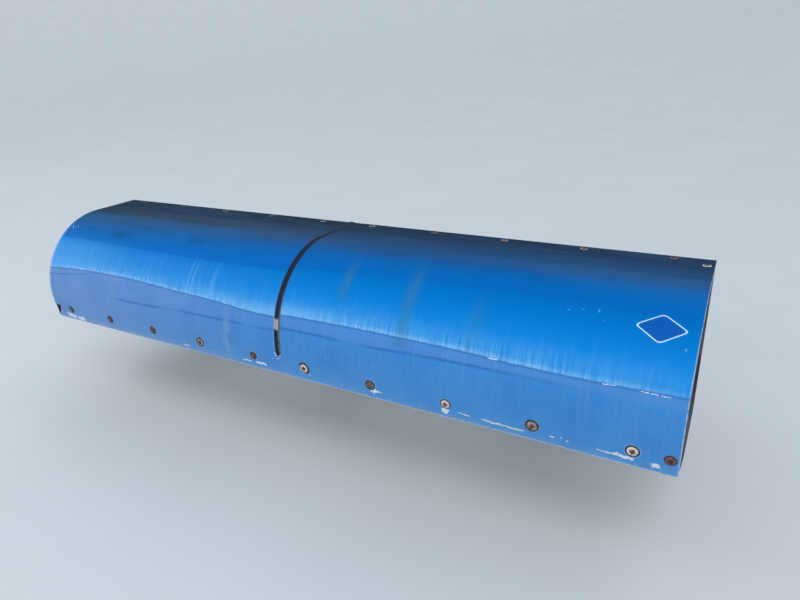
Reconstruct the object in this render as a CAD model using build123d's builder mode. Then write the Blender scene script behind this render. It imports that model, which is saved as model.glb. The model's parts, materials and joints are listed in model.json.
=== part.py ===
from build123d import *

import os
from math import asin, atan2, cos, degrees, radians, sin, sqrt, tan

# Side-mounted compressed gas fuel tank pack of a heavy truck.
# A long composite cylinder lies in three hangers that bolt to the truck's frame rail,
# under a rolled sheet cover in two panels with a strip over their seam.
#
# Frame of reference, in millimetres: +X is the truck's forward direction, +Y points into
# the truck and +Z is up. The origin is the middle of the mid hanger's bolt pattern, on the
# plane where the hangers meet the frame rail. The cover's outer face is therefore at -Y.

# Tank: a wound cylinder with domed ends, its axis below and outside the bolt pattern
tank_radius = 330
tank_drop = 203
rail_clearance = 52
knuckle_radius = 130
crown_radius = 480
pole_radius = 62

# Cover: a flat skirt, a rolled quarter and a flat roof that falls towards the rail.
# The rolled quarter is wider than the tank, and its axis lies outside and below the tank's.
cover_length = 3235
sheet = 3
cover_clearance = 60
axis_offset = 15
skirt_height = 100
roof_fall = 4.5
roof_gap = 112
seam_x = 10
seam_gap = 0.8

# Rows of screws along the cover: first screw from each end, then the pitch
screw_start = 142
screw_pitch = 333

# Clearance between pieces that seat on each other, and how far a cut runs past its piece
seat_gap = 0.3
cut_overrun = 5

# Strip over the seam: a thin lip and two rounded ribs with a groove between
lip_width = 31
lip_height = 1.5
strip_width = 25
strip_height = 5
groove_width = 5
groove_depth = 2.5
strip_low = 94
strip_point = 13
strip_tip = 2.4

# Torn corner of the rear panel. Columns: distance in from the end, height above the hem
tear_corners = (
    (0, 77),
    (26, 69),
    (20, 36),
    (4, 0),
)

# Rails inside the cover that its screws go into
rail_sheet = 4
top_flange = 50
top_leg = 43
rail_setback = 1
lower_sheet = 3
lower_leg_low = 35
lower_leg_high = 85
lower_flange = 40

# Ribs that follow the cover: a flange on it and one web, or two on the wide rib at the seam
rib_sheet = 3
rib_web = 4
rib_depth = 20
rib_screws = 2
rib_span = cover_length / 2 - screw_start - rib_screws * screw_pitch
rib_flange = 50
seam_rib_flange = 84
seam_rib_web = 38
# Columns: name, place along X, flange width, places of the webs from its middle
rib_table = (
    ("rear", -rib_span, rib_flange, (0,)),
    ("mid", seam_x, seam_rib_flange, (-seam_rib_web, seam_rib_web)),
    ("front", rib_span, rib_flange, (0,)),
)

# End panels: folded pans that close the cover's two ends
end_inset = 2
end_flange = 45
end_fall = 31
end_rise = 9
end_lift = 2
end_room = 192.5
# Columns: name, side along X, radius of the round access opening
end_table = (
    ("rear", -1, 60),
    ("front", 1, 85),
)

# Polar bosses, turned in steps from the tank's end outwards. Columns: radius, length
boss_steps = (
    (58, 12),
    (38, 22),
)

# Hangers: a back plate on the rail, two web plates with a saddle, a hook and a head plate
hanger_setback = 355
hanger_span = cover_length / 2 - end_room - hanger_setback
# Columns: name, place along X
hanger_table = (
    ("rear", -hanger_span),
    ("mid", 0),
    ("front", hanger_span),
)
plate_width = 200
plate_thickness = 12
plate_edge = 25
plate_corner = 15
bolt_spacing_x = 100
bolt_spacing_z = 150
bolt_hole_radius = 8.5
hanger_width = 140
web_thickness = 8
leg_depth = 42
leg_knee = 82
foot_thickness = 8
saddle_thickness = 6
saddle_liner_thickness = 8
saddle_low_angle = -106
saddle_high_angle = 46
saddle_liner_trim = 2
web_hole_radius = 30
web_hole_inset = 70
head_thickness = 6
head_height = 70
head_clearance = 7
head_corner = 12

# Straps: a steel band with a rubber liner, looped round a pin at each end
strap_width = 70
strap_thickness = 3
strap_liner_thickness = 5
strap_low_angle = 248
strap_high_angle = 62
strap_liner_trim = 3
pin_radius = 10
loop_rise = 0.5
hook_ear = 18
tee_slot = 26
bolt_radius = 8
bolt_length = 152
bolt_clearance = 0.5
anchor_along = 110
anchor_length = 28
anchor_height = 32
anchor_ear = 27
washer_radius = 15
washer_thickness = 3
nut_across = 24
nut_height = 13

# Shut-off valve at the front boss: a collar, a block and what is screwed into it
collar_radius = 34
collar_length = 10
block_length = 60
block_side = 64
block_corner = 8
outlet_along = 47
outlet_radius = 12
outlet_height = 14
relief_along = 20
relief_radius = 12
relief_length = 44
relief_hex = 28
relief_hex_length = 12
coil_radius = 22
coil_length = 50
stem_radius = 8
stem_length = 12
handle_span = 76
handle_width = 16
handle_thickness = 12

# End plug at the rear boss
plug_across = 64
plug_length = 34
plug_turn = 30

# Pipes: radius, bend radius and the corners of each run
gas_radius = 6
gas_bend = 40
gas_high = 45
gas_out = 60
vent_radius = 7
vent_bend = 50
vent_out = 90
vent_top = 66
cap_wall = 2
cap_length = 16
cap_top = 3

# Outlet union on the front hanger, where the truck's own gas pipe is fitted
union_length = 34
union_width = 36
union_height = 50
union_corner = 6
union_hex = 24
union_hex_height = 12
stub_length = 28
tube_nut = 22
tube_nut_length = 16

# Bracket that holds the gas pipe under the top rail
clip_width = 34
clip_thickness = 3
clip_lap = 15
clip_drop = 16
clip_clearance = 0.3

# Derived places
cover_radius = tank_radius + cover_clearance
tank_y = -rail_clearance - tank_radius
tank_z = -tank_drop
arc_y = tank_y - axis_offset
arc_z = tank_z - axis_offset
face_y = arc_y - cover_radius
hem_z = arc_z - skirt_height
half_length = cover_length / 2
under = sheet + seat_gap
roof_start_angle = 90 - roof_fall
arc_sweep = 90 + roof_fall
roof_start_y = arc_y + cover_radius * cos(radians(roof_start_angle))
roof_run = (-roof_gap - roof_start_y) / cos(radians(roof_fall))
rail_back_y = -roof_gap - rail_setback
rail_run = (rail_back_y - roof_start_y) / cos(radians(roof_fall))
rail_half = half_length - end_inset - end_flange - seat_gap
tank_half = half_length - end_room
saddle_liner_inner = tank_radius + seat_gap
saddle_inner = saddle_liner_inner + saddle_liner_thickness + seat_gap
saddle_outer = saddle_inner + saddle_thickness
strap_liner_inner = tank_radius + seat_gap
strap_inner = strap_liner_inner + strap_liner_thickness + seat_gap
loop_hole = pin_radius + seat_gap
loop_outer = loop_hole + strap_thickness
pin_orbit = strap_inner + loop_outer + loop_rise
leg_low = tank_z - tank_radius - leg_depth
knee_y = tank_y + leg_knee
end_low_z = tank_z - tank_radius + end_rise
plate_top = bolt_spacing_z / 2 + plate_edge
boss_length = sum(length for radius, length in boss_steps)
block_start = tank_half + boss_length + collar_length
block_end = block_start + block_length
outlet_x = block_start + outlet_along
relief_x = block_start + relief_along
relief_start_y = tank_y + block_side / 2
relief_end_y = relief_start_y + relief_hex_length + relief_length
front_hanger_x = hanger_table[-1][1]
union_face_x = front_hanger_x + hanger_width / 2
union_x = union_face_x + union_length / 2
union_top_z = gas_high + union_height / 2


def skin_point(inset, run):
    """Point (Y, Z) on the roof, this far inside the outer face and along the slope."""
    reach = cover_radius - inset
    slope = radians(roof_fall)
    along_y = arc_y + reach * cos(radians(roof_start_angle)) + run * cos(slope)
    along_z = arc_z + reach * sin(radians(roof_start_angle)) - run * sin(slope)
    return (along_y, along_z)


# Places under the roof's inner face, at the top rail
rail_seat_z = skin_point(under, rail_run)[1]
head_high = rail_seat_z - head_clearance
head_low = head_high - head_height
top_leg_low = rail_seat_z - top_leg
vent_high = rail_seat_z - vent_top
clip_high = rail_seat_z - clip_lap


def cover_band(outer, inner, low_z, run):
    """Section (Y, Z) between two insets, from a height on the skirt to a run on the roof."""
    with BuildSketch() as band:
        with BuildLine():
            Line((face_y + outer, low_z), (face_y + outer, arc_z))
            CenterArc((arc_y, arc_z), cover_radius - outer, 180, -arc_sweep)
            Polyline(
                skin_point(outer, 0),
                skin_point(outer, run),
                skin_point(inner, run),
                skin_point(inner, 0),
            )
            CenterArc((arc_y, arc_z), cover_radius - inner, 180, -arc_sweep)
            Polyline((face_y + inner, arc_z), (face_y + inner, low_z), (face_y + outer, low_z))
        make_face()
    return band.sketch


def ring_sector(inner, outer, start, end):
    """Part of a ring about the tank's axis (Y, Z), between two angles from +Y."""
    centre = (tank_y, tank_z)
    with BuildSketch() as sector:
        with BuildLine():
            near = CenterArc(centre, inner, start, end - start)
            far = CenterArc(centre, outer, start, end - start)
            Line(near @ 0, far @ 0)
            Line(near @ 1, far @ 1)
        make_face()
    return sector.sketch


def around_tank(radius, angle):
    """Point (Y, Z) at a radius and an angle about the tank's axis."""
    return (tank_y + radius * cos(radians(angle)), tank_z + radius * sin(radians(angle)))


def pin_plane(x, angle):
    """Plane at a strap pin: local X runs along the strap, local Y away from the tank."""
    place_y, place_z = around_tank(pin_orbit, angle)
    along = (0, sin(radians(angle)), -cos(radians(angle)))
    return Plane(origin=(x, place_y, place_z), x_dir=along, z_dir=(1, 0, 0))


def across(x):
    """Plane of a section (Y, Z) at a place along the truck."""
    return Plane.YZ.offset(x)


def write(builder, name):
    """Label a finished piece and write its STEP file."""
    builder.part.label = name
    export_step(builder.part, f"parts/{name}.step")


# Cover panels
def make_panel(x_from, x_to, torn):
    with BuildPart() as panel:
        with BuildSketch(across(x_from)):
            add(cover_band(0, sheet, hem_z, roof_run))
        extrude(amount=x_to - x_from)
        if torn:
            corners = [(x_from + inward, hem_z + height) for inward, height in tear_corners]
            outside_x = x_from - cut_overrun
            below_z = hem_z - cut_overrun
            with BuildSketch(Plane.XZ.offset(-face_y - sheet - cut_overrun)):
                with BuildLine():
                    Polyline(
                        *corners,
                        (corners[-1][0], below_z),
                        (outside_x, below_z),
                        (outside_x, corners[0][1]),
                        close=True,
                    )
                make_face()
            extrude(amount=sheet + 2 * cut_overrun, mode=Mode.SUBTRACT)
    return panel


# Strip over the seam
def make_seam_strip():
    # Columns: width, low height, high height, measured from the cover's face
    bands = (
        (lip_width, seat_gap, lip_height),
        (strip_width, seat_gap, strip_height),
    )
    low_z = hem_z + strip_low
    with BuildPart() as strip:
        for width, low, high in bands:
            with BuildSketch(across(seam_x - width / 2)):
                add(cover_band(-high, -low, low_z, roof_run))
            extrude(amount=width)
        # Groove along the middle
        with BuildSketch(across(seam_x - groove_width / 2)):
            add(cover_band(-strip_height - cut_overrun, groove_depth - strip_height, low_z, roof_run))
        extrude(amount=groove_width, mode=Mode.SUBTRACT)
        # Lower end trimmed to a blunt point
        with BuildSketch(Plane.XZ.offset(-face_y)):
            for side in (-1, 1):
                tip_x = seam_x + side * strip_tip / 2
                edge_x = seam_x + side * lip_width / 2
                outside_x = edge_x + side * cut_overrun
                with BuildLine():
                    Polyline(
                        (tip_x, low_z - cut_overrun),
                        (tip_x, low_z),
                        (edge_x, low_z + strip_point),
                        (outside_x, low_z + strip_point),
                        (outside_x, low_z - cut_overrun),
                        close=True,
                    )
                make_face()
        extrude(amount=strip_height + cut_overrun, mode=Mode.SUBTRACT)
    return strip


# Rails
def make_top_rail():
    with BuildPart() as rail:
        with BuildSketch(across(-rail_half)):
            with BuildLine():
                start = rail_run - top_flange
                slope_end = skin_point(under, rail_run)
                inner_start = skin_point(under + rail_sheet, start)
                leg_out = slope_end[0] - rail_sheet
                corner_z = slope_end[1] - rail_sheet + rail_sheet * tan(radians(roof_fall))
                Polyline(
                    skin_point(under, start),
                    slope_end,
                    (slope_end[0], top_leg_low),
                    (leg_out, top_leg_low),
                    (leg_out, corner_z),
                    inner_start,
                    close=True,
                )
            make_face()
        extrude(amount=2 * rail_half)
    return rail


def make_bottom_rail():
    inner = face_y + under
    with BuildPart() as rail:
        with BuildSketch(across(-rail_half)):
            with BuildLine():
                Polyline(
                    (inner, hem_z + lower_leg_low),
                    (inner, hem_z + lower_leg_high),
                    (inner + lower_flange, hem_z + lower_leg_high),
                    (inner + lower_flange, hem_z + lower_leg_high - lower_sheet),
                    (inner + lower_sheet, hem_z + lower_leg_high - lower_sheet),
                    (inner + lower_sheet, hem_z + lower_leg_low),
                    close=True,
                )
            make_face()
        extrude(amount=2 * rail_half)
    return rail


# Ribs
def make_rib(x, flange_width, web_places):
    low_z = hem_z + lower_leg_high + seat_gap
    run = rail_run - top_flange - seat_gap
    with BuildPart() as rib:
        with BuildSketch(across(x - flange_width / 2)):
            add(cover_band(under, under + rib_sheet, low_z, run))
        extrude(amount=flange_width)
        for place in web_places:
            with BuildSketch(across(x + place - rib_web / 2)):
                add(cover_band(under, under + rib_sheet + rib_depth, low_z, run))
            extrude(amount=rib_web)
    return rib


# End panels
def end_outline():
    """Outline (Y, Z) of an end panel inside the cover."""
    outer_y = face_y + under
    low_z = hem_z + end_lift
    corner_y = outer_y + (low_z - end_low_z) / tan(radians(end_fall))
    with BuildSketch() as outline:
        with BuildLine():
            Line((outer_y, low_z), (outer_y, arc_z))
            CenterArc((arc_y, arc_z), cover_radius - under, 180, -arc_sweep)
            Polyline(
                skin_point(under, 0),
                skin_point(under, rail_run),
                (rail_back_y, end_low_z),
                (corner_y, end_low_z),
                (outer_y, low_z),
            )
        make_face()
    return outline.sketch


def make_end_panel(side, opening_radius):
    outer_x = side * (half_length - end_inset)
    with BuildPart() as panel:
        with BuildSketch(across(outer_x)):
            add(end_outline())
        extrude(amount=-side * end_flange)
        with BuildSketch(across(outer_x - side * sheet)):
            add(end_outline())
            offset(amount=-sheet, mode=Mode.REPLACE)
        extrude(amount=-side * (end_flange - sheet), mode=Mode.SUBTRACT)
        with BuildSketch(across(outer_x)):
            with Locations((tank_y, tank_z)):
                Circle(opening_radius)
        extrude(amount=-side * sheet, mode=Mode.SUBTRACT)
    return panel


# Tank
def make_tank():
    crown_back = sqrt((crown_radius - knuckle_radius) ** 2 - (tank_radius - knuckle_radius) ** 2)
    crown_to_pole = sqrt(crown_radius ** 2 - pole_radius ** 2)
    straight_half = tank_half + crown_back - crown_to_pole
    crown_x = straight_half - crown_back
    pole_angle = degrees(asin(pole_radius / crown_radius))
    join_angle = degrees(atan2(tank_radius - knuckle_radius, crown_back))
    axis_plane = Plane(origin=(0, tank_y, tank_z), x_dir=(1, 0, 0), z_dir=(0, -1, 0))
    with BuildPart() as tank:
        with BuildSketch(axis_plane):
            with BuildLine():
                crown = CenterArc((crown_x, 0), crown_radius, pole_angle, join_angle - pole_angle)
                knuckle_centre = (straight_half, tank_radius - knuckle_radius)
                knuckle = CenterArc(knuckle_centre, knuckle_radius, join_angle, 90 - join_angle)
                Polyline(knuckle @ 1, (0, tank_radius), (0, 0), (tank_half, 0), crown @ 0)
            make_face()
        revolve(axis=Axis((0, tank_y, tank_z), (1, 0, 0)))
        mirror(about=Plane.YZ)
    return tank


def make_turned(x_from, side, steps):
    """Turned piece on the tank's axis, from a place along X outwards."""
    with BuildPart() as piece:
        reached = x_from
        for radius, length in steps:
            with BuildSketch(across(side * reached)):
                with Locations((tank_y, tank_z)):
                    Circle(radius)
            extrude(amount=side * length)
            reached += length
    return piece


# Hangers
def web_outline():
    """Outline (Y, Z) of a web plate, with the saddle's round cut and the hook's ear."""
    ear = around_tank(pin_orbit, strap_low_angle)
    ear_low = (ear[0], ear[1] - hook_ear)
    anchor_point = pin_plane(0, strap_high_angle).from_local_coords((anchor_along, 0, 0))
    anchor_centre = (anchor_point.Y, anchor_point.Z)
    saddle_end = around_tank(saddle_inner, saddle_high_angle)
    hole_z = leg_low + web_hole_inset
    with BuildSketch() as web:
        with BuildLine():
            Polyline(
                (-plate_thickness, leg_low),
                (knee_y, leg_low),
                ear_low,
                ear,
                (tank_y, tank_z),
                saddle_end,
                (rail_back_y, head_low),
                (rail_back_y, head_high - head_corner),
                (-plate_thickness, plate_top),
                close=True,
            )
        make_face()
        with Locations(ear):
            Circle(hook_ear)
        with Locations(anchor_centre):
            Circle(anchor_ear)
        with Locations((tank_y, tank_z)):
            Circle(saddle_inner, mode=Mode.SUBTRACT)
        with Locations((-web_hole_inset, hole_z)):
            Circle(web_hole_radius, mode=Mode.SUBTRACT)
    return web.sketch


def make_hanger(x):
    start_x = x - hanger_width / 2
    anchor = pin_plane(x, strap_high_angle)
    bolt_way = Plane(origin=anchor.origin, z_dir=anchor.x_dir)
    with BuildPart() as hanger:
        # Back plate with the bolt holes
        with BuildSketch(Plane.XZ):
            with Locations((x, (plate_top + leg_low) / 2)):
                RectangleRounded(plate_width, plate_top - leg_low, plate_corner)
            with Locations((x, 0)):
                with GridLocations(bolt_spacing_x, bolt_spacing_z, 2, 2):
                    Circle(bolt_hole_radius, mode=Mode.SUBTRACT)
        extrude(amount=plate_thickness)
        # Web plates
        for place in (start_x, start_x + hanger_width - web_thickness):
            with BuildSketch(across(place)):
                add(web_outline())
            extrude(amount=web_thickness)
        # Rolled saddle between and over the webs
        with BuildSketch(across(start_x)):
            add(ring_sector(saddle_inner, saddle_outer, saddle_low_angle, saddle_high_angle))
        extrude(amount=hanger_width)
        # Foot plate, head plate, hook pin
        with BuildSketch(across(start_x)):
            with Locations((knee_y, leg_low)):
                Rectangle(-knee_y - plate_thickness, foot_thickness, align=(Align.MIN, Align.MIN))
            with Locations((rail_back_y, head_low)):
                Rectangle(head_thickness, head_high - head_low, align=(Align.MIN, Align.MIN))
            with Locations(around_tank(pin_orbit, strap_low_angle)):
                Circle(pin_radius)
        extrude(amount=hanger_width)
        # Anchor block that the strap's bolt pulls on
        with BuildSketch(anchor.offset(-hanger_width / 2)):
            with Locations((anchor_along, 0)):
                Rectangle(anchor_length, anchor_height)
        extrude(amount=hanger_width)
        with BuildSketch(bolt_way.offset(anchor_along - anchor_length)):
            Circle(bolt_radius + bolt_clearance)
        extrude(amount=2 * anchor_length, mode=Mode.SUBTRACT)
    return hanger


# Straps
def make_strap(x):
    ends = (strap_low_angle, strap_high_angle)
    with BuildPart() as strap:
        with BuildSketch(across(x - strap_width / 2)):
            add(ring_sector(strap_inner, strap_inner + strap_thickness, strap_high_angle, strap_low_angle))
            with Locations(*[around_tank(pin_orbit, angle) for angle in ends]):
                Circle(loop_outer)
            with Locations(*[around_tank(pin_orbit, angle) for angle in ends]):
                Circle(loop_hole, mode=Mode.SUBTRACT)
        extrude(amount=strap_width)
        # Slot that lets the bolt out of the upper loop
        with BuildSketch(pin_plane(x, strap_high_angle).offset(-tee_slot / 2)):
            with Locations((loop_outer, loop_rise)):
                Rectangle(2 * loop_outer, 2 * loop_hole)
        extrude(amount=tee_slot, mode=Mode.SUBTRACT)
    return strap


def make_strap_bolt(x):
    pin = pin_plane(x, strap_high_angle)
    along = Plane(origin=pin.origin, z_dir=pin.x_dir)
    seat = anchor_along + anchor_length / 2
    with BuildPart() as bolt:
        with BuildSketch(pin.offset(-strap_width / 2)):
            Circle(pin_radius)
        extrude(amount=strap_width)
        with BuildSketch(along):
            Circle(bolt_radius)
        extrude(amount=bolt_length)
        with BuildSketch(along.offset(seat)):
            Circle(washer_radius)
        extrude(amount=washer_thickness)
        with BuildSketch(along.offset(seat + washer_thickness)):
            RegularPolygon(nut_across / 2, 6, major_radius=False)
        extrude(amount=nut_height)
    return bolt


def make_liner(x, width, inner, thickness, start, end):
    with BuildPart() as liner:
        with BuildSketch(across(x - width / 2)):
            add(ring_sector(inner, inner + thickness, start, end))
        extrude(amount=width)
    return liner


# Valve, plug and what is screwed into them
def make_valve():
    with BuildPart() as valve:
        with BuildSketch(across(block_start - collar_length)):
            with Locations((tank_y, tank_z)):
                Circle(collar_radius)
        extrude(amount=collar_length)
        with BuildSketch(across(block_start)):
            with Locations((tank_y, tank_z)):
                RectangleRounded(block_side, block_side, block_corner)
        extrude(amount=block_length)
        with BuildSketch(Plane.XY.offset(tank_z + block_side / 2)):
            with Locations((outlet_x, tank_y)):
                RegularPolygon(outlet_radius, 6, major_radius=False)
        extrude(amount=outlet_height)
    return valve


def make_handle():
    with BuildPart() as handle:
        with BuildSketch(across(block_end)):
            with Locations((tank_y, tank_z)):
                Circle(stem_radius)
        extrude(amount=stem_length)
        with BuildSketch(across(block_end + stem_length)):
            with Locations((tank_y, tank_z)):
                SlotOverall(handle_span, handle_width)
        extrude(amount=handle_thickness)
    return handle


def make_coil():
    coil_x = block_start + block_length / 2
    with BuildPart() as coil:
        with BuildSketch(Plane.XY.offset(tank_z - block_side / 2)):
            with Locations((coil_x, tank_y)):
                Circle(coil_radius)
        extrude(amount=-coil_length)
    return coil


def make_plug(side):
    with BuildPart() as plug:
        with BuildSketch(across(side * (tank_half + boss_length))):
            with Locations((tank_y, tank_z)):
                RegularPolygon(plug_across / 2, 6, major_radius=False, rotation=plug_turn)
        extrude(amount=side * plug_length)
    return plug


def make_relief(x):
    with BuildPart() as relief:
        with BuildSketch(Plane.XZ.offset(-relief_start_y)):
            with Locations((x, tank_z)):
                RegularPolygon(relief_hex / 2, 6, major_radius=False)
        extrude(amount=-relief_hex_length)
        with BuildSketch(Plane.XZ.offset(-relief_start_y - relief_hex_length)):
            with Locations((x, tank_z)):
                Circle(relief_radius)
        extrude(amount=-relief_length)
    return relief


# Pipes
def make_pipe(corners, radius, bend):
    start = Vector(*corners[0])
    heading = Vector(*corners[1]) - start
    with BuildPart() as pipe:
        with BuildLine() as route:
            FilletPolyline(*corners, radius=bend)
        with BuildSketch(Plane(origin=start, z_dir=heading)):
            Circle(radius)
        sweep(path=route.line)
    return pipe


def make_vent_cap(x):
    low_z = vent_high - cap_length + cap_top
    with BuildPart() as cap:
        with BuildSketch(Plane.XY.offset(low_z)):
            with Locations((x, -vent_out)):
                Circle(vent_radius + seat_gap + cap_wall)
        extrude(amount=cap_length)
        with BuildSketch(Plane.XY.offset(low_z)):
            with Locations((x, -vent_out)):
                Circle(vent_radius + seat_gap)
        extrude(amount=cap_length - cap_top, mode=Mode.SUBTRACT)
    return cap


def make_union():
    with BuildPart() as union:
        with BuildSketch(across(union_face_x)):
            with Locations((-gas_out, gas_high)):
                RectangleRounded(union_width, union_height, union_corner)
        extrude(amount=union_length)
        with BuildSketch(across(union_face_x + union_length)):
            with Locations((-gas_out, gas_high)):
                RegularPolygon(tube_nut / 2, 6, major_radius=False)
        extrude(amount=tube_nut_length)
        with BuildSketch(Plane.XY.offset(union_top_z)):
            with Locations((union_x, -gas_out)):
                RegularPolygon(union_hex / 2, 6, major_radius=False)
        extrude(amount=union_hex_height)
        with BuildSketch(Plane.XY.offset(union_top_z + union_hex_height)):
            with Locations((union_x, -gas_out)):
                Circle(gas_radius)
        extrude(amount=stub_length)
    return union


def make_clip():
    low_z = gas_high - clip_drop
    with BuildPart() as clip:
        with BuildSketch(Plane.XZ.offset(-rail_back_y)):
            with Locations((outlet_x, low_z)):
                Rectangle(clip_width, clip_high - low_z, align=(Align.CENTER, Align.MIN))
            with Locations((outlet_x, gas_high)):
                Circle(gas_radius + clip_clearance, mode=Mode.SUBTRACT)
        extrude(amount=-clip_thickness)
    return clip


os.makedirs("parts", exist_ok=True)

write(make_panel(-half_length, seam_x - seam_gap / 2, True), "cover_panel_rear")
write(make_panel(seam_x + seam_gap / 2, half_length, False), "cover_panel_front")
write(make_seam_strip(), "seam_strip")
write(make_top_rail(), "top_rail")
write(make_bottom_rail(), "bottom_rail")
for name, x, flange_width, web_places in rib_table:
    write(make_rib(x, flange_width, web_places), f"rib_{name}")
for name, side, opening_radius in end_table:
    write(make_end_panel(side, opening_radius), f"end_panel_{name}")

write(make_tank(), "tank_shell")
write(make_turned(tank_half, -1, boss_steps), "boss_rear")
write(make_turned(tank_half, 1, boss_steps), "boss_front")

for name, x in hanger_table:
    write(make_hanger(x), f"hanger_{name}")
    write(make_strap(x), f"strap_{name}")
    write(make_strap_bolt(x), f"strap_bolt_{name}")
    low_angle = saddle_low_angle + saddle_liner_trim
    high_angle = saddle_high_angle - saddle_liner_trim
    saddle_liner = make_liner(
        x, hanger_width, saddle_liner_inner, saddle_liner_thickness, low_angle, high_angle
    )
    write(saddle_liner, f"saddle_liner_{name}")
    low_angle = strap_high_angle + strap_liner_trim
    high_angle = strap_low_angle - strap_liner_trim
    strap_liner = make_liner(
        x, strap_width, strap_liner_inner, strap_liner_thickness, low_angle, high_angle
    )
    write(strap_liner, f"strap_liner_{name}")

write(make_valve(), "tank_valve")
write(make_handle(), "valve_handle")
write(make_coil(), "solenoid_coil")
write(make_plug(-1), "end_plug")
plug_x = -(tank_half + boss_length + plug_length / 2)
for name, x in (("rear", plug_x), ("front", relief_x)):
    write(make_relief(x), f"relief_device_{name}")
    corners = ((x, relief_end_y, tank_z), (x, -vent_out, tank_z), (x, -vent_out, vent_high))
    write(make_pipe(corners, vent_radius, vent_bend), f"vent_pipe_{name}")
    write(make_vent_cap(x), f"vent_cap_{name}")

outlet_z = tank_z + block_side / 2 + outlet_height
gas_corners = (
    (outlet_x, tank_y, outlet_z),
    (outlet_x, tank_y, gas_high),
    (outlet_x, -gas_out, gas_high),
    (union_face_x + union_length + tube_nut_length, -gas_out, gas_high),
)
write(make_pipe(gas_corners, gas_radius, gas_bend), "gas_pipe")
write(make_union(), "gas_union")
write(make_clip(), "pipe_clip")
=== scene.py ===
"""Looks of a truck's side-mounted compressed gas fuel tank pack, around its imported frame.

Metres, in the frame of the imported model: +X is the truck's forward direction, +Y points
into the truck and +Z is up. A place on the cover is given as (x, run), where run is the
length along the cover's outer face from its lower edge, up the skirt, round the rolled
quarter and over the roof. Colours are display values from 0 to 255: red, green, blue.
"""
import json
import random
from math import copysign, cos, exp, hypot, pi, radians, sin, sqrt, tan

import bmesh
import bpy
from mathutils import Matrix, Vector, noise


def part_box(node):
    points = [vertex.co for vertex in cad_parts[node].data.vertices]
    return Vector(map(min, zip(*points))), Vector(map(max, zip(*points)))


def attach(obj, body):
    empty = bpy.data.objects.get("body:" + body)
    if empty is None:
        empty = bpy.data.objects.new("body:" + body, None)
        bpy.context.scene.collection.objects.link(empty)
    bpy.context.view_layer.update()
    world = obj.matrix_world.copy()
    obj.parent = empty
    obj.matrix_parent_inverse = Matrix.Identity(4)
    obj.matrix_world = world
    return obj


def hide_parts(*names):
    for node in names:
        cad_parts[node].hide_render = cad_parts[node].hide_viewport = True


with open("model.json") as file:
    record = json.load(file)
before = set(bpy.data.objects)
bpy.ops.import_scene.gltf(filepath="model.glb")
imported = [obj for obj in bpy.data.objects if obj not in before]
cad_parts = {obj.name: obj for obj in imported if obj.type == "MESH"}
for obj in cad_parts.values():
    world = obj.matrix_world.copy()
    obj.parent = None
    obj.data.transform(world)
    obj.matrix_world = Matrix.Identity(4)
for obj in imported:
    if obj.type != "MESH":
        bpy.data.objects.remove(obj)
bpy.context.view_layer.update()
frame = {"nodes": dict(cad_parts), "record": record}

# Cover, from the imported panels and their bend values
front_low, front_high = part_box("cover_panel_front")
rear_low, rear_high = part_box("cover_panel_rear")
FACE_Y = front_low.y
HEM_Z = front_low.z
HALF_LENGTH = front_high.x
SEAM_X = (front_low.x + rear_high.x) / 2
SKIRT = 0.1
COVER_RADIUS = 0.39
SHEET = 0.003
ROOF_FALL = radians(4.5)
ARC_Y = FACE_Y + COVER_RADIUS
ARC_Z = HEM_Z + SKIRT
ARC_ANGLE = pi / 2 + ROOF_FALL
ROOF_START = SKIRT + COVER_RADIUS * ARC_ANGLE
ROOF_RUN = (front_high.y - ARC_Y) / cos(ROOF_FALL) - COVER_RADIUS * tan(ROOF_FALL)
COVER_RUN = ROOF_START + ROOF_RUN

# Strip over the cover's seam
strip_low, strip_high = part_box("seam_strip")
STRIP_X = (strip_low.x + strip_high.x) / 2

# Tank's axis, from its packed shell
tank_low, tank_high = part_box("tank_shell")
TANK_Y = (tank_low.y + tank_high.y) / 2
TANK_Z = (tank_low.z + tank_high.z) / 2
TANK_RADIUS = (tank_high.z - tank_low.z) / 2

# Screws: distance in from each end of the cover, height of the rows
SCREW_INSETS = (0.028, 0.142, 0.475, 0.808, 1.141, 1.474)
LOWER_RUN = 0.0605
UPPER_RUN = COVER_RUN - 0.03
END_RUN = COVER_RUN - 0.078

MERGE = 1e-6


def tint(colour):
    """Scene-linear colour of three display values."""
    def linear(value):
        share = value / 255
        return share / 12.92 if share <= 0.04045 else ((share + 0.055) / 1.055) ** 2.4
    return (*map(linear, colour), 1)


# Places
def profile(run):
    """Point (y, z) on the cover's face, and its outward direction."""
    if run <= SKIRT:
        return Vector((FACE_Y, HEM_Z + run)), Vector((-1, 0))
    angle = min((run - SKIRT) / COVER_RADIUS, ARC_ANGLE)
    out = Vector((-cos(angle), sin(angle)))
    along = max(0, run - ROOF_START)
    return Vector((ARC_Y, ARC_Z)) + COVER_RADIUS * out + along * Vector((out.y, -out.x)), out


def on_cover(x, run, height):
    """Point above the cover's true face."""
    point, out = profile(run)
    return Vector((x, *(point + height * out)))


def round_tank(x, reach, angle):
    """Point round the tank's axis."""
    return Vector((x, TANK_Y + reach * cos(angle), TANK_Z + reach * sin(angle)))


def circle(sides, turn=0):
    """Angles spread evenly round a circle."""
    return [turn + 2 * pi * side / sides for side in range(sides)]


def around(angle, first, second):
    """Direction at an angle from the first direction towards the second."""
    return cos(angle) * first + sin(angle) * second


def wander(*place):
    """Smooth noise at three numbers, from -1 to 1."""
    return noise.noise(Vector(place))


def new_object(name, data):
    """An object in the scene."""
    item = bpy.data.objects.new(name, data)
    bpy.context.scene.collection.objects.link(item)
    return item


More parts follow.
